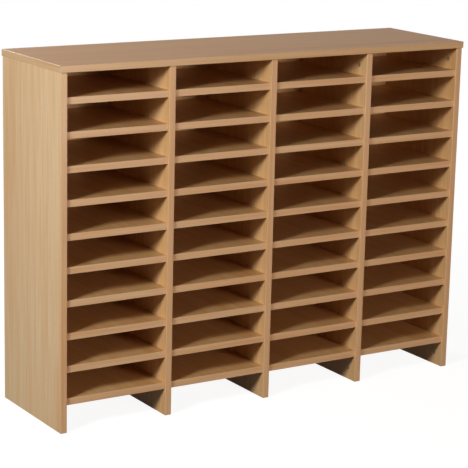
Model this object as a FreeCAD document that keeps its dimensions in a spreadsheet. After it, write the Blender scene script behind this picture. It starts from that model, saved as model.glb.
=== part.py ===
"""Pigeonhole mail sorter: a floor-standing grid of letter compartments in melamine-faced board.

Five uprights (two side panels and three dividers) stand on the floor.  Ten rows of shelves are
housed in grooves across the uprights, a back panel closes the rear, and a top panel is drawn
down on the uprights by cams and bolts.  The same cams are fitted near the feet of the uprights,
where a base unit can be bolted on.

Millimetres.  +Z is up, the open fronts face -Y, and the origin is on the floor, under the
middle of the top panel.
"""
import FreeCAD, Part
import os
import re
import Sketcher

COLUMNS = 4
SHELVES = 10
UPRIGHTS = ["left_side_panel", "divider_1", "divider_2", "divider_3", "right_side_panel"]
CAM_FACES = ["right", "right", "right", "left", "left"]  # the face of each upright with its cams

# The cams at either end of the uprights, as upright and distance from the front.
CAMS = [(number, "cam_setback") for number in range(COLUMNS + 1)]
CAMS += [(0, "cam_rear"), (COLUMNS, "cam_rear")]

TOLERANCE = 0.001   # millimetres; nearer than this, an edge lies on a face

# The driving dimensions, in millimetres.
SIZES = {
    "column_width": 290,            # clear width of one pigeonhole
    "row_height": 68.4,             # clear height of one pigeonhole
    "top_row_height": 62,           # clear height under the top panel
    "base_height": 72.4,            # floor to the underside of the lowest shelf
    "carcass_depth": 336,           # front of the uprights' edging to the rear of the back panel
    "upright_thickness": 18,
    "shelf_thickness": 18,
    "top_thickness": 18,
    "back_thickness": 12,
    "front_overhang": 4,            # top panel beyond the carcass
    "rear_overhang": 3,
    "side_overhang": 2,
    "edging_thickness": 2,          # plastic edge banding
    "edging_bevel": 1,              # its trimmed outer arrises
    "shelf_recess": 3,              # shelf fronts behind the back of the uprights' edging
    "housing_depth": 5,             # groove in an upright that holds the end of a shelf
    "rebate_depth": 8,              # rebate in a side panel that holds the back panel
    "end_clearance": 0.5,           # board ends stop short of the bottom of their groove
    "cam_diameter": 15,
    "cam_bore_depth": 13.5,
    "cam_recess": 0.3,              # face of the cam below the face of the board
    "cam_setback": 37,              # cam centre behind the front, and ahead of the back panel
    "cam_end_distance": 34,         # cam centre to the end of the upright
    "cam_slot_length": 11,
    "cam_slot_width": 2.4,
    "cam_slot_depth": 3,
    "base_bolt_bore": 8,            # bore from the foot of an upright to its cam, for a base unit
    "bolt_bore": 7,                 # bore from the head of an upright to its cam
    "bolt_shank": 6,
    "bolt_engagement": 5,           # how far the bolt goes into the mouth of the cam
    "bolt_thread": 5,               # end that screws into the top panel
    "bolt_thread_length": 11,
    "bolt_clearance": 1,            # free depth beyond the screwed end
}

# Lengths and places that follow from the sizes above.
DERIVED = {
    "column_pitch": "column_width + upright_thickness",
    "row_pitch": "row_height + shelf_thickness",
    "carcass_width": f"{COLUMNS} * column_pitch + upright_thickness",
    "carcass_height": f"base_height + {SHELVES - 1} * row_pitch + shelf_thickness + top_row_height",
    "left_x": "-carcass_width / 2",
    "front_y": "(front_overhang - rear_overhang - carcass_depth) / 2",
    "core_y": "front_y + edging_thickness",
    "clear_depth": "carcass_depth - back_thickness",
    "shelf_front": "edging_thickness + shelf_recess",
    "shelf_length": "column_width + 2 * (housing_depth - end_clearance)",
    "cam_rear": "clear_depth - cam_setback",
    "cam_height": "cam_bore_depth - cam_recess",
    "top_cam_z": "carcass_height - cam_end_distance",
    "bolt_in_cam": "cam_bore_depth - upright_thickness / 2",
    "shank_length": "cam_end_distance - cam_diameter / 2 + bolt_engagement",
    "top_width": "carcass_width + 2 * side_overhang",
    "top_depth": "carcass_depth + front_overhang + rear_overhang",
}

doc = FreeCAD.newDocument("pigeonhole_sorter")
sheet = doc.addObject("Spreadsheet::Sheet", "Sizes")
for row, (alias, value) in enumerate(SIZES.items(), start=1):
    sheet.set(f"A{row}", alias)
    sheet.set(f"B{row}", str(value))
    sheet.setAlias(f"B{row}", alias)
doc.recompute()


def formula(text):
    """Write a formula in plain size names as an expression on the spreadsheet."""
    def swap(match):
        word = match.group(0)
        if word in DERIVED:
            return "(" + formula(DERIVED[word]) + ")"
        return "Sizes." + word if word in SIZES else word
    return re.sub(r"[a-z_]+", swap, text)


def bind(thing, **properties):
    """Bind properties of an object to formulas, such as Length="2 * housing_depth"."""
    for name, text in properties.items():
        thing.setExpression(name, formula(text))


def put(thing, place, name="Placement"):
    """Bind the position of an object to three formulas, for x, y and z."""
    for axis, text in zip("xyz", place):
        thing.setExpression(f"{name}.Base.{axis}", formula(text))


def new_body(label, place):
    body = doc.addObject("PartDesign::Body", label)
    body.Label = label
    body.AllowCompound = True
    put(body, place)
    return body


def origin_feature(body, role):
    return next(item for item in body.Origin.OriginFeatures if item.Role == role)


def new_sketch(body, name, plane, offset=("0", "0", "0")):
    """A sketch on an origin plane of its body, moved by formulas in the sketch's own axes."""
    sketch = body.newObject("Sketcher::SketchObject", name)
    sketch.AttachmentSupport = [(origin_feature(body, plane), "")]
    sketch.MapMode = "FlatFace"
    put(sketch, offset, "AttachmentOffset")
    return sketch


def limit(sketch, kind, *where, to):
    """Add a dimension to a sketch and bind it to a formula."""
    index = sketch.addConstraint(Sketcher.Constraint(kind, *where, evaluate(to)))
    sketch.setExpression(f"Constraints[{index}]", formula(to))


def draw_outline(sketch, corners):
    """A closed outline through corners, each a pair of formulas measured from the origin."""
    count = len(corners)
    first = sketch.GeometryCount
    guess = [FreeCAD.Vector(evaluate(x), evaluate(y), 0) for x, y in corners]
    for index in range(count):
        sketch.addGeometry(Part.LineSegment(guess[index], guess[(index + 1) % count]), False)
    for index in range(count):
        after = first + (index + 1) % count
        sketch.addConstraint(Sketcher.Constraint("Coincident", first + index, 2, after, 1))
    for index, (x, y) in enumerate(corners):
        pin_point(sketch, first + index, 1, x, y)


def pin_point(sketch, geometry, point, x, y):
    """Fix a point at two formulas from the sketch's origin; a nought lies on the axis."""
    for kind, axis, text in (("DistanceX", -2, x), ("DistanceY", -1, y)):
        if text == "0":
            sketch.addConstraint(Sketcher.Constraint("PointOnObject", geometry, point, axis))
        else:
            limit(sketch, kind, -1, 1, geometry, point, to=text)


def draw_rectangle(sketch, width, height):
    """A rectangle with one corner at the sketch's origin."""
    draw_outline(sketch, [("0", "0"), (width, "0"), (width, height), ("0", height)])


def draw_circles(sketch, diameter, centres):
    """Circles of one diameter, their centres at pairs of formulas from the origin."""
    for x, y in centres:
        centre = FreeCAD.Vector(evaluate(x), evaluate(y), 0)
        circle = Part.Circle(centre, FreeCAD.Vector(0, 0, 1), evaluate(diameter) / 2)
        index = sketch.addGeometry(circle, False)
        limit(sketch, "Diameter", index, to=diameter)
        pin_point(sketch, index, 3, x, y)


def evaluate(text):
    """The value of a formula at the present sizes."""
    result = doc.Sizes.evalExpression(formula(text))
    return float(getattr(result, "Value", result))


def add_pad(body, sketch, length):
    pad = body.newObject("PartDesign::Pad", "Pad")
    pad.Profile = sketch
    bind(pad, Length=length)
    return pad


def add_pocket(body, sketch, depth, along_normal=False):
    """Cut a sketch into its body, against the sketch's normal or along it."""
    pocket = body.newObject("PartDesign::Pocket", "Pocket")
    pocket.Profile = sketch
    pocket.Reversed = along_normal
    bind(pocket, Length=depth)
    return pocket


def repeat(body, original, role, count, length):
    """Repeat a feature, or with no original the whole body, along an axis."""
    doc.recompute()
    pattern = body.newObject("PartDesign::LinearPattern", "Pattern")
    if original:
        pattern.Originals = [original]
    else:
        pattern.TransformMode = "Whole shape"
    pattern.Direction = (origin_feature(body, role), [""])
    pattern.Occurrences = count
    bind(pattern, Length=length)
    body.Tip = pattern


def add_cylinder(body, name, diameter, length, height):
    """An upright cylinder that starts at a height in its body's own frame."""
    cylinder = body.newObject("PartDesign::AdditiveCylinder", name)
    bind(cylinder, Radius=f"{diameter} / 2", Height=length)
    cylinder.AttachmentSupport = [(origin_feature(body, "XY_Plane"), "")]
    cylinder.MapMode = "FlatFace"
    put(cylinder, ("0", "0", height), "AttachmentOffset")


def bevel_arrises(body, pad, wanted):
    """Bevel the edges of a strip whose middle and direction pass a test."""
    doc.recompute()
    names = []
    for index, edge in enumerate(pad.Shape.Edges, start=1):
        start, end = (vertex.Point for vertex in edge.Vertexes)
        if wanted((start + end) / 2, end - start):
            names.append(f"Edge{index}")
    chamfer = body.newObject("PartDesign::Chamfer", "Chamfer")
    chamfer.Base = (pad, names)
    bind(chamfer, Size="edging_bevel")


def upright(number):
    """A side panel (one inner face) or a divider (two), without its front edging.

    Its own frame has x through the board from its left face, y from the front of the board and
    z from the floor.
    """
    inner_faces = {0: ["right"], COLUMNS: ["left"]}.get(number, ["left", "right"])
    divider = len(inner_faces) == 2
    depth = "clear_depth - edging_thickness" if divider else "carcass_depth - edging_thickness"
    body = new_body(UPRIGHTS[number], (f"left_x + {number} * column_pitch", "core_y", "0"))
    board = new_sketch(body, "Board", "YZ_Plane")
    draw_rectangle(board, depth, "carcass_height")
    add_pad(body, board, "upright_thickness")
    surface = {"left": "0", "right": "upright_thickness"}
    for face in inner_faces:
        if not divider:
            rebate = new_sketch(body, "Rebate", "YZ_Plane",
                                ("clear_depth - edging_thickness", "0", surface[face]))
            draw_rectangle(rebate, "back_thickness", "carcass_height")
            add_pocket(body, rebate, "rebate_depth", along_normal=face == "left")
        housing = new_sketch(body, "Housing", "YZ_Plane",
                             ("shelf_recess", "base_height", surface[face]))
        draw_rectangle(housing, "clear_depth - shelf_front", "shelf_thickness")
        groove = add_pocket(body, housing, "housing_depth", along_normal=face == "left")
        repeat(body, groove, "Z_Axis", SHELVES, f"{SHELVES - 1} * row_pitch")
    rows = [f"{y} - edging_thickness" for upright_number, y in CAMS if upright_number == number]
    cam_face = CAM_FACES[number]
    cam_bores = new_sketch(body, "CamBores", "YZ_Plane", ("0", "0", surface[cam_face]))
    draw_circles(cam_bores, "cam_diameter",
                 [(y, z) for y in rows for z in ("cam_end_distance", "top_cam_z")])
    add_pocket(body, cam_bores, "cam_bore_depth", along_normal=cam_face == "left")
    for height, bore in (("0", "base_bolt_bore"), ("carcass_height", "bolt_bore")):
        bolt_bores = new_sketch(body, "BoltBores", "XY_Plane", ("0", "0", height))
        draw_circles(bolt_bores, bore, [("upright_thickness / 2", y) for y in rows])
        add_pocket(body, bolt_bores, "cam_end_distance", along_normal=height == "0")
    return body


def upright_edging():
    """Edge banding up the front of every upright."""
    body = new_body("upright_edging", ("left_x", "front_y", "0"))
    strip = new_sketch(body, "Strip", "XY_Plane")
    draw_rectangle(strip, "upright_thickness", "edging_thickness")
    pad = add_pad(body, strip, "carcass_height")
    bevel_arrises(body, pad, lambda middle, run: abs(run.z) > TOLERANCE and abs(middle.y) < TOLERANCE)
    repeat(body, None, "X_Axis", COLUMNS + 1, f"{COLUMNS} * column_pitch")
    return body


def shelf(column, row):
    """A shelf board, housed in the uprights at both ends and butted to the back panel."""
    board = doc.addObject("Part::Box", f"shelf_c{column + 1}_r{row + 1:02d}")
    bind(board, Length="shelf_length", Height="shelf_thickness",
         Width="clear_depth - shelf_front - edging_thickness")
    put(board, (shelf_left(column), "front_y + shelf_front + edging_thickness",
                f"base_height + {row} * row_pitch"))
    return board


def shelf_left(column):
    first = "left_x + upright_thickness - housing_depth + end_clearance"
    return f"{first} + {column} * column_pitch"


def shelf_edging(column):
    """Edge banding along the fronts of one column of shelves."""
    body = new_body(f"shelf_edging_column_{column + 1}",
                    (shelf_left(column), "front_y + shelf_front", "base_height"))
    strip = new_sketch(body, "Strip", "XY_Plane")
    draw_rectangle(strip, "shelf_length", "edging_thickness")
    add_pad(body, strip, "shelf_thickness")
    repeat(body, None, "Z_Axis", SHELVES, f"{SHELVES - 1} * row_pitch")
    return body


def top_panel():
    """The top board, drilled from below for the bolts."""
    body = new_body("top_panel", ("edging_thickness - top_width / 2",
                                  "front_y - front_overhang + edging_thickness", "carcass_height"))
    board = new_sketch(body, "Board", "XY_Plane")
    draw_rectangle(board, "top_width - 2 * edging_thickness", "top_depth - 2 * edging_thickness")
    add_pad(body, board, "top_thickness")
    holes = new_sketch(body, "BoltHoles", "XY_Plane")
    first = "side_overhang - edging_thickness + upright_thickness / 2"
    draw_circles(holes, "bolt_thread",
                 [(f"{first} + {number} * column_pitch", f"{y} + front_overhang - edging_thickness")
                  for number, y in CAMS])
    add_pocket(body, holes, "bolt_thread_length + bolt_clearance", along_normal=True)
    return body


def top_panel_edging():
    """Four strips of edge banding; the front and rear ones cover the ends of the side ones."""
    strips = []
    corner = ("-top_width / 2", "front_y - front_overhang", "carcass_height")
    sides = (("front", "0", "0"), ("rear", "0", "top_depth - edging_thickness"),
             ("left", "0", "edging_thickness"),
             ("right", "top_width - edging_thickness", "edging_thickness"))
    for side, x, y in sides:
        body = new_body(f"top_edging_{side}",
                        (f"{corner[0]} + {x}", f"{corner[1]} + {y}", corner[2]))
        strip = new_sketch(body, "Strip", "XY_Plane")
        across = side in ("front", "rear")
        if across:
            draw_rectangle(strip, "top_width", "edging_thickness")
        else:
            draw_rectangle(strip, "edging_thickness", "top_depth - 2 * edging_thickness")
        pad = add_pad(body, strip, "top_thickness")
        outside = 0 if side in ("front", "left") else evaluate("edging_thickness")

        def on_outside(middle, run, across=across, outside=outside):
            place = middle.y if across else middle.x
            return abs(place - outside) < TOLERANCE and (across or abs(run.z) < TOLERANCE)

        bevel_arrises(body, pad, on_outside)
        strips.append(body)
    return group("top_panel_edging", strips)


def group(label, members):
    """One sub-part made of several separate solids."""
    compound = doc.addObject("Part::Compound", label)
    compound.Links = members
    return compound


def back_panel():
    """The back board, standing in the rebates of the side panels behind the dividers."""
    board = doc.addObject("Part::Box", "back_panel")
    inset = "upright_thickness - rebate_depth + end_clearance"
    bind(board, Length=f"carcass_width - 2 * ({inset})", Width="back_thickness",
         Height="carcass_height")
    put(board, (f"left_x + {inset}", "front_y + clear_depth", "0"))
    return board


def cams(end, height, bore):
    """The cams at one end of the uprights, each with a mouth as wide as the bore that leads to it."""
    members = []
    for index, (number, y) in enumerate(CAMS, start=1):
        right = CAM_FACES[number] == "right"
        inner_end = "upright_thickness - cam_bore_depth" if right else "cam_bore_depth"
        body = new_body(f"{end}_cam_{index}", (f"left_x + {number} * column_pitch + {inner_end}",
                                               f"front_y + {y}", height))
        if not right:
            half_turn = FreeCAD.Rotation(FreeCAD.Vector(0, 0, 1), 180)
            body.Placement = FreeCAD.Placement(body.Placement.Base, half_turn)
        housing = new_sketch(body, "Housing", "YZ_Plane")
        draw_circles(housing, "cam_diameter", [("0", "0")])
        add_pad(body, housing, "cam_height")
        slot = new_sketch(body, "Slot", "YZ_Plane",
                          ("-cam_slot_width / 2", "-cam_slot_length / 2", "cam_height"))
        draw_rectangle(slot, "cam_slot_width", "cam_slot_length")
        add_pocket(body, slot, "cam_slot_depth")
        mouth = new_sketch(body, "Mouth", "XY_Plane",
                           (f"bolt_in_cam - {bore} / 2", f"-{bore} / 2", "0"))
        draw_rectangle(mouth, bore, bore)
        add_pocket(body, mouth, "cam_diameter / 2", along_normal=end == "top")
        members.append(body)
    return group(f"{end}_cams", members)


def top_cam_bolts():
    """The bolts that are screwed into the top panel and held by the upper cams."""
    members = []
    for index, (number, y) in enumerate(CAMS, start=1):
        body = new_body(f"bolt_{index}",
                        (f"left_x + {number} * column_pitch + upright_thickness / 2",
                         f"front_y + {y}", "carcass_height - shank_length"))
        add_cylinder(body, "Shank", "bolt_shank", "shank_length", "0")
        add_cylinder(body, "Thread", "bolt_thread", "bolt_thread_length", "shank_length")
        members.append(body)
    return group("top_cam_bolts", members)


subparts = [upright(number) for number in range(COLUMNS + 1)]
subparts.append(upright_edging())
for column in range(COLUMNS):
    subparts.extend(shelf(column, row) for row in range(SHELVES))
    subparts.append(shelf_edging(column))
subparts += [back_panel(), top_panel(), top_panel_edging()]
subparts += [cams("top", "top_cam_z", "bolt_bore"), top_cam_bolts(),
             cams("base", "cam_end_distance", "base_bolt_bore")]

doc.recompute()
for item in doc.Objects:
    if "Invalid" in item.State or "Error" in item.State:
        owner = ", ".join(parent.Label for parent in item.InList)
        raise RuntimeError(f"{item.Label} of {owner} failed: {item.getStatusString()}")
for item in subparts:
    if item.Shape.isNull() or not item.Shape.isValid():
        raise RuntimeError(f"{item.Label} has no valid shape")

os.makedirs("parts", exist_ok=True)
for item in subparts:
    item.Shape.exportStep(f"parts/{item.Label}.step")
    print(item.Label, len(item.Shape.Solids), round(item.Shape.Volume))
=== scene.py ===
"""Pigeonhole mail sorter in beech-effect board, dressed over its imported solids.

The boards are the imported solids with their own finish.  The edge banding, the cams and the
bolts are modelled here in their place.  Metres; +Z is up and the open fronts face -Y.
"""
import math
from collections import namedtuple

import bmesh
import bpy
from bpy.props import FloatProperty, FloatVectorProperty, PointerProperty
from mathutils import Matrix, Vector


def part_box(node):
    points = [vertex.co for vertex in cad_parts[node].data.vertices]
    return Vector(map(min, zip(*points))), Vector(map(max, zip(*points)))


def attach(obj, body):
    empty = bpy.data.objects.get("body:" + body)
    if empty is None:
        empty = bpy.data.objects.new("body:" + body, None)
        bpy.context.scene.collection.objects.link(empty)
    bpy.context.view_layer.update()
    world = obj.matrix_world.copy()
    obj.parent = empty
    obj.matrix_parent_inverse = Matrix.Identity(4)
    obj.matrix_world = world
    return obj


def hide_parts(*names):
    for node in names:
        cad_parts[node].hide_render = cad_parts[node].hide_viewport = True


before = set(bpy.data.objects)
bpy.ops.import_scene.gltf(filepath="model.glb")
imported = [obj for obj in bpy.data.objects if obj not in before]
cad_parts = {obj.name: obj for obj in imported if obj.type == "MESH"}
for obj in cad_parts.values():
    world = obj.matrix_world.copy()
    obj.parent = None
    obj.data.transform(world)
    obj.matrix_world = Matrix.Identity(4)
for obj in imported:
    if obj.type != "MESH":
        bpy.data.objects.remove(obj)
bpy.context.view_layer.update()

bl_info = {
    "name": "Pigeonhole mail sorter",
    "version": (1, 0, 0),
    "blender": (4, 5, 0),
    "location": "View3D > Sidebar > Sorter",
    "description": "Dresses the mail sorter: boards, edge banding, fittings and studio",
    "category": "Object",
}

MM = 0.001
TOLERANCE = 0.1 * MM    # for edges and faces that are picked by their place
X, Y, Z = range(3)

UPRIGHTS = ("left_side_panel", "divider_1", "divider_2", "divider_3", "right_side_panel")
CAM_FACES = (1, 1, 1, -1, -1)   # the side of each upright that its cams face, along X
COLUMNS = 4
SHELVES = 10
CAM_DEPTH = 13.2 * MM   # from a cam's face to the bottom of its bore
SMOOTH_ANGLE = math.radians(30)


def linear(colour):
    """An sRGB hex colour as linear RGBA."""
    channels = [int(colour[i:i + 2], 16) / 255 for i in (1, 3, 5)]
    return [c / 12.92 if c <= 0.04045 else ((c + 0.055) / 1.055) ** 2.4 for c in channels] + [1]


def colour_property(name, description, colour):
    return FloatVectorProperty(name=name, description=description, subtype="COLOR", size=4,
                               min=0, max=1, default=linear(colour))


def length_property(name, description, millimetres):
    return FloatProperty(name=name, description=description, unit="LENGTH", precision=5,
                         min=0, default=millimetres * MM)


class SorterColours(bpy.types.PropertyGroup):
    """Colours of the board, its edging and the fittings."""
    # The side, the uprights, the shelves and the top are one beech print in four tones, each set
    # for the light where it stands: palest on the lit outer side, darker and warmer on the
    # uprights and the shelves in the pigeonholes' shade, and on the top. The steps between these
    # tones are painted light and shade.
    side: colour_property("Side", "Beech print of the left side panel", "#d6b285")
    upright: colour_property("Upright", "Beech print of the other uprights", "#d4a770")
    shelf: colour_property("Shelf", "Beech print of the shelves", "#cda068")
    top: colour_property("Top", "Beech print of the top panel", "#c78e53")
    back: colour_property("Back", "Beech print of the back panel", "#d8ba88")
    edging: colour_property("Edging", "Edge banding of the uprights and the shelves", "#d2ae82")
    top_edging: colour_property("Top edging", "Edge banding along the top panel", "#c8a577")
    end_edging: colour_property("End edging", "Edge banding at the top panel's ends", "#caa374")
    fleck: colour_property("Fleck", "Ray flecks and pores of the print", "#8f6a45")
    core: colour_property("Core", "Pressed wood chips at a sawn edge", "#b3905f")
    core_pale: colour_property("Pale core", "Palest chips at a sawn edge", "#d1b389")
    core_dark: colour_property("Dark core", "Gaps between the chips", "#7d5d38")
    zinc: colour_property("Zinc", "Die-cast zinc of the cams", "#b9a48e")
    steel: colour_property("Steel", "Plated steel of the bolts", "#c2c5c8")
    floor: colour_property("Floor", "Studio floor, to which its glow adds white", "#7c7c7c")


class SorterSizes(bpy.types.PropertyGroup):
    """Sizes of the small details."""
    upright_round: length_property("Upright rounding", "Radius on the uprights' edging", 1.2)
    shelf_round: length_property("Shelf rounding", "Radius on the shelves' edging", 0.8)
    top_round: length_property("Top rounding", "Radius on the top panel's edging", 1.5)
    band_width: length_property("Band width", "Broad bands of the beech print", 26)
    # The streaks of a real print are about 1 mm wide, too fine to show, so they are coarser here.
    streak_width: length_property("Streak width", "Fine streaks of the beech print", 7)
    fleck_width: length_property("Fleck width", "Ray flecks of the beech print", 0.7)
    chip_size: length_property("Chip size", "Wood chips in the core", 2.5)
    cam_rim: length_property("Cam rim", "Width of the raised rim of a cam", 0.9)
    slot_width: length_property("Slot width", "Screwdriver slot of a cam", 2.4)
    slot_length: length_property("Slot length", "Screwdriver slot of a cam", 11)
    slot_depth: length_property("Slot depth", "Screwdriver slot of a cam", 3)
    thread_pitch: length_property("Thread pitch", "Coarse thread of a bolt", 1.6)


# Selecting and shaping pieces -----------------------------------------------------------------

def deselect():
    bpy.ops.object.select_all(action="DESELECT")


def select_alone(piece):
    deselect()
    piece.select_set(True)
    bpy.context.view_layer.objects.active = piece


def start(piece):
    """Select one piece alone and open it for editing."""
    select_alone(piece)
    bpy.ops.object.mode_set(mode="EDIT")
    bpy.ops.mesh.select_all(action="DESELECT")


def stop():
    bpy.ops.object.mode_set(mode="OBJECT")


def pick(piece, kind, test):
    """In edit mode, select the faces or edges for which a test holds."""
    bpy.ops.mesh.select_mode(type=kind)
    bpy.ops.mesh.select_all(action="DESELECT")
    mesh = bmesh.from_edit_mesh(piece.data)
    for item in mesh.faces if kind == "FACE" else mesh.edges:
        if test(item):
            item.select_set(True)
    mesh.select_flush_mode()
    bmesh.update_edit_mesh(piece.data)


def turn_outwards():
    """In edit mode, turn all the faces outwards."""
    bpy.ops.mesh.select_all(action="SELECT")
    bpy.ops.mesh.normals_make_consistent(inside=False)


def middle(edge):
    return (edge.verts[0].co + edge.verts[1].co) / 2


def runs_along(edge, axis):
    run = edge.verts[1].co - edge.verts[0].co
    return abs(run[axis]) > 0.9 * run.length


def take(name):
    """Name the active piece and move its place, turn and scale into its mesh."""
    piece = bpy.context.active_object
    piece.name = piece.data.name = name
    bpy.ops.object.transform_apply(location=True, rotation=True, scale=True)
    return piece


def add_box(name, low, high):
    deselect()
    low, high = Vector(low), Vector(high)
    bpy.ops.mesh.primitive_cube_add(size=1, location=(low + high) / 2, scale=high - low)
    return take(name)


def add_cylinder(name, radius, depth, centre, rotation=(0, 0, 0), sides=48):
    deselect()
    bpy.ops.mesh.primitive_cylinder_add(vertices=sides, radius=radius, depth=depth,
                                        location=centre, rotation=rotation)
    return take(name)


def apply_modifier(piece, kind, **settings):
    """Add a modifier to a piece and apply it."""
    select_alone(piece)
    modifier = piece.modifiers.new(kind.title(), kind)
    for name, value in settings.items():
        setattr(modifier, name, value)
    bpy.ops.object.modifier_apply(modifier=modifier.name)


def cut(piece, cutter):
    """Cut one piece with another, which is then removed."""
    apply_modifier(piece, "BOOLEAN", object=cutter, operation="DIFFERENCE", solver="EXACT")
    bpy.data.objects.remove(cutter)


def place_copy(master, name, place, rotation=(0, 0, 0)):
    """A turned and moved copy of a piece, with a mesh of its own."""
    select_alone(master)
    bpy.ops.object.duplicate(linked=False)
    copy = bpy.context.active_object
    copy.location = place
    copy.rotation_euler = rotation
    return take(name)


def join(pieces, name):
    deselect()
    for piece in pieces:
        piece.select_set(True)
    bpy.context.view_layer.objects.active = pieces[0]
    bpy.ops.object.join()
    return take(name)


def finish_piece(piece, node, material):
    """Shade and paint a piece, and let it stand for its node."""
    select_alone(piece)
    bpy.ops.object.shade_smooth_by_angle(angle=SMOOTH_ANGLE)
    apply_modifier(piece, "WEIGHTED_NORMAL", keep_sharp=True)
    piece.data.materials.clear()
    piece.data.materials.append(material)
    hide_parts(node)
    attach(piece, "root")


# Materials ------------------------------------------------------------------------------------

# Sockets of a colour mix, whose names are shared with its number and vector sockets.
AMOUNT, FIRST, SECOND, MIXED = 0, 6, 7, 2

# Tints of the beech print, which its tone is multiplied by.
PALE_BAND = (1.035, 1.1, 1.18, 1)
WARM_BAND = (0.95, 0.88, 0.81, 1)
DARK_STREAK = (0.96, 0.915, 0.85, 1)
PALE_STREAK = (1.04, 1.08, 1.14, 1)
FLECK_STRENGTH = 0.25

# A pattern of a print is noise drawn out along the grain.  Its width is a share of one of the
# sizes, and its length is in metres.  The start says which part of the noise falls on the
# piece, and the pattern rises from nothing to full between two levels of the noise.
Pattern = namedtuple("Pattern", "size share length detail start low high")

# The pale bands, the warm bands, the streaks and the flecks of the boards and of the edging.
BOARD_PRINT = (
    Pattern("band_width", share=1, length=1.3, detail=2, start=0.7, low=0.36, high=0.64),
    Pattern("band_width", share=2.2, length=0.9, detail=2, start=48.65, low=0.48, high=0.72),
    Pattern("streak_width", share=1, length=0.2, detail=3, start=3.1, low=0.3, high=0.7),
    Pattern("fleck_width", share=1, length=0.012, detail=1, start=5.7, low=0.62, high=0.74),
)
EDGING_PRINT = (
    Pattern("band_width", share=0.5, length=0.6, detail=2, start=4.4, low=0.5, high=0.7),
    Pattern("band_width", share=0.5, length=0.6, detail=2, start=4.4, low=0.5, high=0.3),
    Pattern("streak_width", share=1, length=0.12, detail=4, start=1.9, low=0.3, high=0.7),
    Pattern("fleck_width", share=1.4, length=0.009, detail=2, start=8.2, low=0.62, high=0.74),
)

PLASTIC_IOR = 1.5
SAWN_ROUGHNESS = 0.85
EDGING_ROUGHNESS = 0.36

# How deep the pores of the boards and of the edging are, and the unevenness of the metals.
BOARD_RELIEF = 0.05 * MM
EDGING_RELIEF = 0.04 * MM
METAL_RELIEF = 0.03 * MM


def add_node(tree, kind, settings=None):
    """Add a node, give it its settings and return its outputs.

    A setting is a property of the node, or the value or the link of an input, which is given
    by its name or number.
    """
    node = tree.nodes.new(kind)
    for key, value in (settings or {}).items():
        if isinstance(value, bpy.types.NodeSocket):
            tree.links.new(value, node.inputs[key])
        elif isinstance(key, str) and key not in node.inputs:
            setattr(node, key, value)
        else:
            node.inputs[key].default_value = value
    return node.outputs


def new_material(name):
    material = bpy.data.materials.new(name)
    material.use_nodes = True
    material.node_tree.nodes.clear()
    return material, material.node_tree


def finish_material(tree, settings):
    """The shader and the output of a material."""
    shader = add_node(tree, "ShaderNodeBsdfPrincipled", settings)
    add_node(tree, "ShaderNodeOutputMaterial", {"Surface": shader["BSDF"]})


def draw_pattern(tree, place, grain, pattern):
    """One pattern of a print: its noise, and how much of it shows, from 0 to 1."""
    width = pattern.share * getattr(bpy.context.scene.sorter_sizes, pattern.size)
    scale = [1 / width] * 3
    scale[grain] = 1 / pattern.length
    spots = add_node(tree, "ShaderNodeMapping",
                     {"Vector": place, "Scale": scale, "Location": [pattern.start] * 3})
    noise = add_node(tree, "ShaderNodeTexNoise", {"Vector": spots["Vector"], "Scale": 1,
                                                  "Detail": pattern.detail, "Roughness": 0.55})
    shown = add_node(tree, "ShaderNodeMapRange",
                     {"interpolation_type": "SMOOTHSTEP", "Value": noise["Fac"],
                      "From Min": pattern.low, "From Max": pattern.high})
    return noise["Fac"], shown["Result"]


def beech_print(tree, place, grain, tone, patterns, contrast):
    """A beech print: its colour, and the noise of its flecks, which its pores follow.

    Pale and warm bands and streaks tint the tone, and dark flecks lie over them.
    """
    drawn = [draw_pattern(tree, place, grain, pattern) for pattern in patterns]
    pale, warm, streaks, flecks = [shown for noise, shown in drawn]
    streak_tone = add_node(tree, "ShaderNodeMix", {"data_type": "RGBA", AMOUNT: streaks,
                                                   FIRST: DARK_STREAK, SECOND: PALE_STREAK})
    for amount, tint in ((pale, PALE_BAND), (warm, WARM_BAND), (contrast, streak_tone[MIXED])):
        tone = add_node(tree, "ShaderNodeMix",
                        {"data_type": "RGBA", "blend_type": "MULTIPLY",
                         AMOUNT: amount, FIRST: tone, SECOND: tint})[MIXED]
    strength = add_node(tree, "ShaderNodeMath",
                        {"operation": "MULTIPLY", 0: flecks, 1: FLECK_STRENGTH})
    tone = add_node(tree, "ShaderNodeMix",
                    {"data_type": "RGBA", AMOUNT: strength["Value"], FIRST: tone,
                     SECOND: bpy.context.scene.sorter_colours.fleck})[MIXED]
    fleck_noise = drawn[-1][0]
    return tone, fleck_noise


def sawn_core(tree, place):
    """Chipboard core, pressed from wood chips: the colour of a sawn edge, and its gaps."""
    colours = bpy.context.scene.sorter_colours
    chips = add_node(tree, "ShaderNodeTexVoronoi",
                     {"Vector": place, "Scale": 1 / bpy.context.scene.sorter_sizes.chip_size})
    chance = add_node(tree, "ShaderNodeSeparateColor", {"Color": chips["Color"]})
    gaps = add_node(tree, "ShaderNodeMapRange",
                    {"interpolation_type": "SMOOTHSTEP", "Value": chips["Distance"],
                     "From Min": 0.35, "From Max": 0.75})["Result"]
    tone = add_node(tree, "ShaderNodeMix", {"data_type": "RGBA", AMOUNT: chance["Red"],
                                            FIRST: colours.core, SECOND: colours.core_pale})
    tone = add_node(tree, "ShaderNodeMix", {"data_type": "RGBA", AMOUNT: gaps,
                                            FIRST: tone[MIXED], SECOND: colours.core_dark})
    return tone[MIXED], gaps


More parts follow.
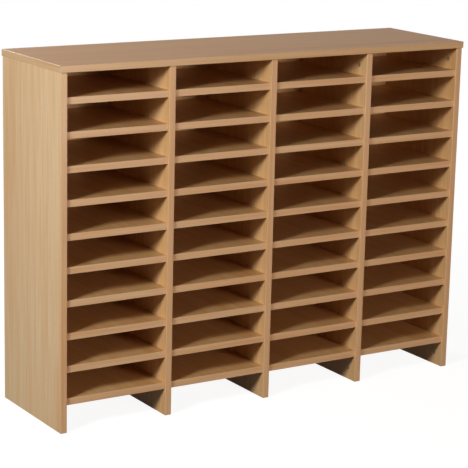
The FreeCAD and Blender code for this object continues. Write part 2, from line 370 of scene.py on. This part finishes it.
def board_material(name, tone, grain, face, contrast=1.0, roughness=0.5):
    """Chipboard faced with beech-print melamine, pressed on an embossed plate.

    The eye gets a satin, even face with a quiet grain and fine pores.  The faces square to the
    face axis carry the print, and the sawn ends show the rough chips of the core.
    """
    material, tree = new_material(name)
    place = add_node(tree, "ShaderNodeTexCoord")
    print_tone, pores = beech_print(tree, place["Object"], grain, tone, BOARD_PRINT, contrast)
    core_tone, gaps = sawn_core(tree, place["Object"])

    axis = [0, 0, 0]
    axis[face] = 1
    facing = add_node(tree, "ShaderNodeVectorMath",
                      {"operation": "DOT_PRODUCT", 0: place["Normal"], 1: axis})
    square = add_node(tree, "ShaderNodeMath", {"operation": "ABSOLUTE", 0: facing["Value"]})
    printed = add_node(tree, "ShaderNodeMapRange",
                       {"interpolation_type": "SMOOTHSTEP", "Value": square["Value"],
                        "From Min": 0.4, "From Max": 0.6})["Result"]

    surface = add_node(tree, "ShaderNodeMix", {"data_type": "RGBA", AMOUNT: printed,
                                               FIRST: core_tone, SECOND: print_tone})
    height = add_node(tree, "ShaderNodeMix", {"data_type": "RGBA", AMOUNT: printed,
                                              FIRST: gaps, SECOND: pores})
    rough = add_node(tree, "ShaderNodeMapRange",
                     {"Value": printed, "To Min": SAWN_ROUGHNESS, "To Max": roughness})
    relief = add_node(tree, "ShaderNodeBump",
                      {"Height": height[MIXED], "Strength": 0.25, "Distance": BOARD_RELIEF})
    finish_material(tree, {"Base Color": surface[MIXED], "Roughness": rough["Result"],
                           "IOR": PLASTIC_IOR, "Normal": relief["Normal"]})
    return material


def edging_material(name, tone, grain):
    """Beech-print ABS edge banding, extruded and lacquered.

    The eye gets a plainer grain than on the boards, a little pinker and glossier, with a
    bright line where a rounded arris catches the light.
    """
    material, tree = new_material(name)
    place = add_node(tree, "ShaderNodeTexCoord")
    surface, pores = beech_print(tree, place["Object"], grain, tone, EDGING_PRINT, contrast=0.5)
    relief = add_node(tree, "ShaderNodeBump",
                      {"Height": pores, "Strength": 0.2, "Distance": EDGING_RELIEF})
    finish_material(tree, {"Base Color": surface, "Roughness": EDGING_ROUGHNESS,
                           "IOR": PLASTIC_IOR, "Normal": relief["Normal"]})
    return material


def metal_material(name, colour, metallic, roughness, grit):
    """A metal with a fine uneven skin, which is darker and smoother in its hollows."""
    material, tree = new_material(name)
    place = add_node(tree, "ShaderNodeTexCoord")
    skin = add_node(tree, "ShaderNodeTexNoise",
                    {"Vector": place["Object"], "Scale": 1 / grit, "Detail": 3})["Fac"]
    hollow = [0.82 * channel for channel in colour[:3]] + [1]
    smoothest, roughest = roughness - 0.08, roughness + 0.1
    tone = add_node(tree, "ShaderNodeMix",
                    {"data_type": "RGBA", AMOUNT: skin, FIRST: hollow, SECOND: colour})
    rough = add_node(tree, "ShaderNodeMapRange",
                     {"Value": skin, "To Min": smoothest, "To Max": roughest})
    relief = add_node(tree, "ShaderNodeBump",
                      {"Height": skin, "Strength": 0.2, "Distance": METAL_RELIEF})
    finish_material(tree, {"Base Color": tone[MIXED], "Metallic": metallic,
                           "Roughness": rough["Result"], "Normal": relief["Normal"]})
    return material


def paint_node(name, material):
    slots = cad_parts[name].material_slots
    if not slots:
        raise RuntimeError(f"{name} has no material slot")
    for slot in slots:
        slot.material = material


# Boards and edge banding ----------------------------------------------------------------------

class SORTER_OT_boards(bpy.types.Operator):
    """Give every board its beech print, with the grain the way it is laid"""
    bl_idname = "sorter.boards"
    bl_label = "Boards"

    def execute(self, context):
        colours = context.scene.sorter_colours
        # One print in four tones: the paler side and the darker, warmer uprights, shelves and top
        # carry painted light and shade.
        side = board_material("beech_melamine_side", colours.side, grain=Z, face=X)
        upright = board_material("beech_melamine_upright", colours.upright, grain=Z, face=X)
        shelf = board_material("beech_melamine_shelf", colours.shelf, grain=Y, face=Z)
        # The top and the back have plainer prints, and the top is a little duller.
        top = board_material("beech_melamine_top", colours.top, grain=X, face=Z,
                             contrast=0.6, roughness=0.55)
        back = board_material("beech_melamine_back", colours.back, grain=Z, face=Y,
                              contrast=0.6)
        for name in UPRIGHTS:
            paint_node(name, side if name == UPRIGHTS[0] else upright)
        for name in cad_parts:
            if name.startswith("shelf_c"):
                paint_node(name, shelf)
        paint_node("top_panel", top)
        paint_node("back_panel", back)
        return {"FINISHED"}


class SORTER_OT_upright_edging(bpy.types.Operator):
    """Edge banding with rounded arrises up the front of every upright"""
    bl_idname = "sorter.upright_edging"
    bl_label = "Upright edging"

    def execute(self, context):
        colours, sizes = context.scene.sorter_colours, context.scene.sorter_sizes
        material = edging_material("beech_edging_upright", colours.edging, grain=Z)
        low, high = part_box("upright_edging")
        board_low, board_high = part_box(UPRIGHTS[0])
        strip = add_box("strip", (0, low.y, low.z), (board_high.x - board_low.x, high.y, high.z))
        start(strip)
        pick(strip, "EDGE",
             lambda edge: runs_along(edge, Z) and middle(edge).y < low.y + TOLERANCE)
        bpy.ops.mesh.bevel(offset=sizes.upright_round, segments=4)
        stop()
        for name in UPRIGHTS:
            piece = place_copy(strip, f"edging_{name}", (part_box(name)[0].x, 0, 0))
            finish_piece(piece, "upright_edging", material)
        bpy.data.objects.remove(strip)
        return {"FINISHED"}


class SORTER_OT_shelf_edging(bpy.types.Operator):
    """Edge banding along the front of every shelf"""
    bl_idname = "sorter.shelf_edging"
    bl_label = "Shelf edging"

    def execute(self, context):
        colours, sizes = context.scene.sorter_colours, context.scene.sorter_sizes
        material = edging_material("beech_edging_shelf", colours.edging, grain=X)
        for column in range(1, COLUMNS + 1):
            node = f"shelf_edging_column_{column}"
            low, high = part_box(node)
            strips = []
            for row in range(1, SHELVES + 1):
                board_low, board_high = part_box(f"shelf_c{column}_r{row:02d}")
                strip = add_box(f"strip_{column}_{row}", (low.x, low.y, board_low.z),
                                (high.x, high.y, board_high.z))
                start(strip)
                pick(strip, "EDGE",
                     lambda edge: runs_along(edge, X) and middle(edge).y < low.y + TOLERANCE)
                bpy.ops.mesh.bevel(offset=sizes.shelf_round, segments=3)
                stop()
                strips.append(strip)
            finish_piece(join(strips, f"edging_shelves_column_{column}"), node,
                         material)
        return {"FINISHED"}


class SORTER_OT_top_edging(bpy.types.Operator):
    """Edge banding with rounded arrises round the top panel"""
    bl_idname = "sorter.top_edging"
    bl_label = "Top edging"

    def execute(self, context):
        colours, sizes = context.scene.sorter_colours, context.scene.sorter_sizes
        lengthwise = edging_material("beech_edging_top_front", colours.top_edging, grain=X)
        crosswise = edging_material("beech_edging_top_side", colours.end_edging, grain=Y)
        low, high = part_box("top_panel_edging")
        inner_low, inner_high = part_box("top_panel")
        # Each side: two corners seen from above, the axis that it faces and its outer place.
        sides = (
            ("front", (low.x, low.y), (high.x, inner_low.y), Y, low.y),
            ("rear", (low.x, inner_high.y), (high.x, high.y), Y, high.y),
            ("left", (low.x, inner_low.y), (inner_low.x, inner_high.y), X, low.x),
            ("right", (inner_high.x, inner_low.y), (high.x, inner_high.y), X, high.x),
        )
        for side, corner, far_corner, axis, outside in sides:
            piece = add_box(f"edging_top_{side}", (*corner, low.z), (*far_corner, high.z))
            start(piece)

            def outer(edge):
                at_joint = axis == X and runs_along(edge, Z)
                return abs(middle(edge)[axis] - outside) < TOLERANCE and not at_joint

            pick(piece, "EDGE", outer)
            bpy.ops.mesh.bevel(offset=sizes.top_round, segments=4)
            stop()
            finish_piece(piece, "top_panel_edging",
                         lengthwise if axis == Y else crosswise)
        return {"FINISHED"}


# Cams and bolts -------------------------------------------------------------------------------

def cam_radius():
    low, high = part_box("top_cams")
    return (high.z - low.z) / 2


def cam_places():
    """The number of the upright that each cam is in, and the cam's distance in Y."""
    low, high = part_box("top_cams")
    front, rear = low.y + cam_radius(), high.y - cam_radius()
    last = len(UPRIGHTS) - 1
    return [(number, front) for number in range(last + 1)] + [(0, rear), (last, rear)]


def model_cam(radius, depth, sizes):
    """One cam on its side: its face looks along +X at x = 0, and its mouth along +Z."""
    facing_x = (0, math.pi / 2, 0)
    rim_step, face_drop, edge_break = 0.25 * MM, 0.5 * MM, 0.3 * MM
    arrow_radius, arrow_depth = 0.9 * MM, 2 * MM
    mouth_radius, channel_width = 3.3 * MM, 3.8 * MM    # for the bolt's head and its neck
    clear = MM                  # how far the cutters stand out of the cam
    bolt_x = -0.68 * depth      # the place of the bolt behind the face

    cam = add_cylinder("cam", radius, depth, (-depth / 2, 0, 0), facing_x)
    start(cam)
    pick(cam, "FACE", lambda face: face.normal.x > 0.9)
    bpy.ops.mesh.inset(thickness=sizes.cam_rim)
    bpy.ops.mesh.inset(thickness=rim_step)
    bpy.ops.transform.translate(value=(-face_drop, 0, 0))
    pick(cam, "EDGE", lambda edge: not runs_along(edge, X) and all(
        vertex.co.yz.length > radius - TOLERANCE for vertex in edge.verts))
    bpy.ops.mesh.bevel(offset=edge_break, segments=2)
    stop()

    half_width, half_length = sizes.slot_width / 2, sizes.slot_length / 2
    slot = add_box("slot", (-sizes.slot_depth, -half_width, -half_length),
                   (clear, half_width, half_length))
    start(slot)
    pick(slot, "EDGE", lambda edge: runs_along(edge, X))
    bpy.ops.mesh.bevel(offset=0.95 * half_width, segments=4)
    stop()
    cut(cam, slot)
    cross = add_box("cross", (-0.8 * sizes.slot_depth, -0.3 * radius, -0.4 * half_width),
                    (clear, 0.3 * radius, 0.4 * half_width))
    cut(cam, cross)
    arrow = add_cylinder("arrow", arrow_radius, arrow_depth, (0, 0.55 * radius, 0.5 * radius),
                         facing_x, sides=3)
    cut(cam, arrow)

    mouth = add_cylinder("mouth", mouth_radius, radius + clear,
                         (bolt_x, 0, (radius + clear) / 2))
    cut(cam, mouth)
    deselect()
    bpy.ops.mesh.primitive_plane_add(size=1, location=(bolt_x, 0, 0.8 * radius),
                                     rotation=(math.pi / 2, 0, 0))
    bpy.context.active_object.scale = (channel_width, 0.5 * radius, 1)
    channel = take("channel")
    start(channel)
    bpy.ops.mesh.select_all(action="SELECT")
    bpy.ops.mesh.spin(steps=16, angle=math.radians(110), center=(0, 0, 0), axis=(1, 0, 0))
    turn_outwards()
    stop()
    cut(cam, channel)
    return cam


class SORTER_OT_cams(bpy.types.Operator):
    """Die-cast cams with a slot, a rim and a mouth, at both ends of the uprights"""
    bl_idname = "sorter.cams"
    bl_label = "Cams"

    def execute(self, context):
        # Zinc as it comes from the casting mould: a dull warm grey with hardly a highlight.
        # It is only partly metallic, to keep its tone in a dark pigeonhole, and the grit of
        # its skin, about 0.1 mm on the real one, is coarser so that it shows.
        zinc = metal_material("die_cast_zinc", context.scene.sorter_colours.zinc,
                              metallic=0.4, roughness=0.62, grit=0.6 * MM)
        board_low, board_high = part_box(UPRIGHTS[0])
        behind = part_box("top_cams")[0].x - board_low.x      # the wood left behind a cam
        recess = (board_high.x - board_low.x) - CAM_DEPTH - behind
        master = model_cam(cam_radius(), CAM_DEPTH, context.scene.sorter_sizes)
        for node, top in (("top_cams", True), ("base_cams", False)):
            low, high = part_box(node)
            height = (low.z + high.z) / 2
            cams = []
            for index, (number, y) in enumerate(cam_places(), start=1):
                board_low, board_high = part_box(UPRIGHTS[number])
                right = CAM_FACES[number] > 0
                x = board_high.x - recess if right else board_low.x + recess
                turn = (0 if top else math.pi, 0, 0 if right else math.pi)
                cams.append(place_copy(master, f"{node}_{index}", (x, y, height), turn))
            finish_piece(join(cams, f"{node}_detailed"), node, zinc)
        bpy.data.objects.remove(master)
        return {"FINISHED"}


def lathe(name, rings):
    """A turned piece on the Z axis, drawn up ring by ring from pairs of height and radius."""
    deselect()
    height, radius = rings[0]
    bpy.ops.mesh.primitive_circle_add(vertices=32, radius=radius, location=(0, 0, height),
                                      fill_type="NGON")
    piece = take(name)
    start(piece)
    bpy.ops.mesh.select_all(action="SELECT")
    for next_height, next_radius in rings[1:]:
        bpy.ops.mesh.extrude_region_move(
            TRANSFORM_OT_translate={"value": (0, 0, next_height - height)})
        factor = next_radius / radius
        bpy.ops.transform.resize(value=(factor, factor, 1), center_override=(0, 0, next_height))
        height, radius = next_height, next_radius
    turn_outwards()
    stop()
    return piece


def bolt_rings(seat, length, pitch):
    """A bolt from the bottom up, with its seat under the top panel and its thread above that."""
    head, neck, shank, collar = 3 * MM, 1.7 * MM, 2.8 * MM, 3 * MM
    root, crest, tip = 1.9 * MM, 2.5 * MM, 1.2 * MM
    rings = [(0, 2.2 * MM), (0.5 * MM, head), (2.2 * MM, head),
             (2.8 * MM, neck), (5.8 * MM, neck),
             (6.4 * MM, shank), (seat - 2 * MM, shank),
             (seat - 1.6 * MM, collar), (seat - 0.1 * MM, collar)]
    height = seat
    while height + pitch < length - MM:
        rings += [(height, root), (height + 0.45 * pitch, crest), (height + 0.6 * pitch, crest)]
        height += pitch
    return rings + [(height, root), (length, tip)]


class SORTER_OT_bolts(bpy.types.Operator):
    """Turned bolts between the upper cams and the top panel"""
    bl_idname = "sorter.bolts"
    bl_label = "Bolts"

    def execute(self, context):
        # Steel, turned and plated with bright zinc: smoother than the castings, with clear
        # highlights.  The grain of its plating is coarser than the real one so that it shows.
        steel = metal_material("zinc_plated_steel", context.scene.sorter_colours.steel,
                               metallic=1, roughness=0.28, grit=0.4 * MM)
        low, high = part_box("top_cam_bolts")
        master = lathe("bolt", bolt_rings(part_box("top_panel")[0].z - low.z, high.z - low.z,
                                          context.scene.sorter_sizes.thread_pitch))
        bolts = []
        for index, (number, y) in enumerate(cam_places(), start=1):
            board_low, board_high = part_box(UPRIGHTS[number])
            place = ((board_low.x + board_high.x) / 2, y, low.z)
            bolts.append(place_copy(master, f"bolt_{index}", place))
        finish_piece(join(bolts, "top_cam_bolts_detailed"), "top_cam_bolts", steel)
        bpy.data.objects.remove(master)
        return {"FINISHED"}


# Studio ---------------------------------------------------------------------------------------

CAMERA_PLACE = (-2.6133, -4.1319, 1.5772)
CAMERA_DEGREES = (76.731, -1.295, -31.915)
CAMERA_LENS, CAMERA_SENSOR = 140, 36

# Each softbox: name, place, point it faces, width, power in watts and colour.
SOFTBOXES = (
    ("key", (-3.46, -1.4, 1.93), (0, 0, 0.5), 0.7, 111, "#ffffff"),
    ("front", (0.6, -3.4, 0.8), (0.24, 0, 0.5), 0.6, 45.6, "#ffe1cf"),
    ("rim", (-0.43, 2.69, 1.77), (0, 0, 0.5), 0.3, 34, "#ffffff"),
)

FLOOR_SIZE = 12
NEAR, FAR = 0.6, 3.5        # distances from the middle of the floor
NEAR_GLOW = 0.92            # beyond the far distance the glow is 1, which is white
MIRRORED_GLOW = 0.3         # how much of the glow the glossy boards mirror


def sees_background(tree, mirrored=1):
    """1 for camera and transmitted rays, less for glossy ones, 0 for light on the object."""
    path = add_node(tree, "ShaderNodeLightPath")
    glossy = add_node(tree, "ShaderNodeMath",
                      {"operation": "MULTIPLY", 0: path["Is Glossy Ray"], 1: mirrored})
    seen = path["Is Camera Ray"]
    for ray in (glossy["Value"], path["Is Transmission Ray"]):
        seen = add_node(tree, "ShaderNodeMath", {"operation": "MAXIMUM", 0: seen, 1: ray})["Value"]
    return seen


def floor_material(colour):
    """Matt white studio floor: pale wherever it shows, with the object's soft shadow."""
    material, tree = new_material("matt_white_floor")
    paper = add_node(tree, "ShaderNodeBsdfDiffuse", {"Color": colour})
    place = add_node(tree, "ShaderNodeTexCoord")
    away = add_node(tree, "ShaderNodeVectorMath", {"operation": "LENGTH", 0: place["Object"]})
    level = add_node(tree, "ShaderNodeMapRange",
                     {"interpolation_type": "SMOOTHSTEP", "Value": away["Value"],
                      "From Min": NEAR, "From Max": FAR, "To Min": NEAR_GLOW, "To Max": 1})
    level = add_node(tree, "ShaderNodeMath",
                     {"operation": "MULTIPLY", 0: level["Result"],
                      1: sees_background(tree, MIRRORED_GLOW)})
    glow = add_node(tree, "ShaderNodeEmission", {"Strength": level["Value"]})
    both = add_node(tree, "ShaderNodeAddShader", {0: paper["BSDF"], 1: glow["Emission"]})
    add_node(tree, "ShaderNodeOutputMaterial", {"Surface": both["Shader"]})
    return material


class SORTER_OT_stage(bpy.types.Operator):
    """Camera, floor, background and softboxes"""
    bl_idname = "sorter.stage"
    bl_label = "Studio"

    def execute(self, context):
        scene = context.scene
        camera = bpy.data.objects.new("camera", bpy.data.cameras.new("camera"))
        scene.collection.objects.link(camera)
        camera.location = CAMERA_PLACE
        camera.rotation_euler = [math.radians(angle) for angle in CAMERA_DEGREES]
        camera.data.sensor_width = CAMERA_SENSOR
        camera.data.lens = CAMERA_LENS
        scene.camera = camera

        deselect()
        bpy.ops.mesh.primitive_plane_add(size=FLOOR_SIZE)
        floor = take("floor")
        floor.data.materials.append(floor_material(scene.sorter_colours.floor))

        for name, place, target, width, power, colour in SOFTBOXES:
            lamp = bpy.data.objects.new(name, bpy.data.lights.new(name, "AREA"))
            scene.collection.objects.link(lamp)
            aim = Vector(target) - Vector(place)
            lamp.location = place
            lamp.rotation_euler = aim.to_track_quat("-Z", "Y").to_euler()
            lamp.data.size = width
            lamp.data.energy = power
            lamp.data.color = linear(colour)[:3]

        world = bpy.data.worlds.new("studio")
        world.use_nodes = True
        tree = world.node_tree
        tree.nodes.clear()
        sky = add_node(tree, "ShaderNodeBackground",
                       {"Color": (1, 1, 1, 1), "Strength": sees_background(tree)})
        add_node(tree, "ShaderNodeOutputWorld", {"Surface": sky["Background"]})
        scene.world = world
        scene.view_settings.view_transform = "Standard"
        return {"FINISHED"}


class SORTER_PT_panel(bpy.types.Panel):
    """Buttons for the pieces and the studio, with their sizes and colours"""
    bl_idname = "SORTER_PT_panel"
    bl_label = "Mail sorter"
    bl_space_type = "VIEW_3D"
    bl_region_type = "UI"
    bl_category = "Sorter"

    def draw(self, context):
        for operator in OPERATORS:
            self.layout.operator(operator.bl_idname)
        for group in (context.scene.sorter_sizes, context.scene.sorter_colours):
            box = self.layout.box()
            for name in group.__annotations__:
                box.prop(group, name)


OPERATORS = (SORTER_OT_stage, SORTER_OT_boards, SORTER_OT_upright_edging, SORTER_OT_shelf_edging,
             SORTER_OT_top_edging, SORTER_OT_cams, SORTER_OT_bolts)
CLASSES = (SorterColours, SorterSizes) + OPERATORS + (SORTER_PT_panel,)


def register():
    for item in CLASSES:
        bpy.utils.register_class(item)
    bpy.types.Scene.sorter_colours = PointerProperty(type=SorterColours)
    bpy.types.Scene.sorter_sizes = PointerProperty(type=SorterSizes)


def unregister():
    del bpy.types.Scene.sorter_sizes
    del bpy.types.Scene.sorter_colours
    for item in reversed(CLASSES):
        bpy.utils.unregister_class(item)


def main():
    register()
    bpy.ops.sorter.stage()
    bpy.ops.sorter.boards()
    bpy.ops.sorter.upright_edging()
    bpy.ops.sorter.shelf_edging()
    bpy.ops.sorter.top_edging()
    bpy.ops.sorter.cams()
    bpy.ops.sorter.bolts()


if __name__ == "__main__":
    main()
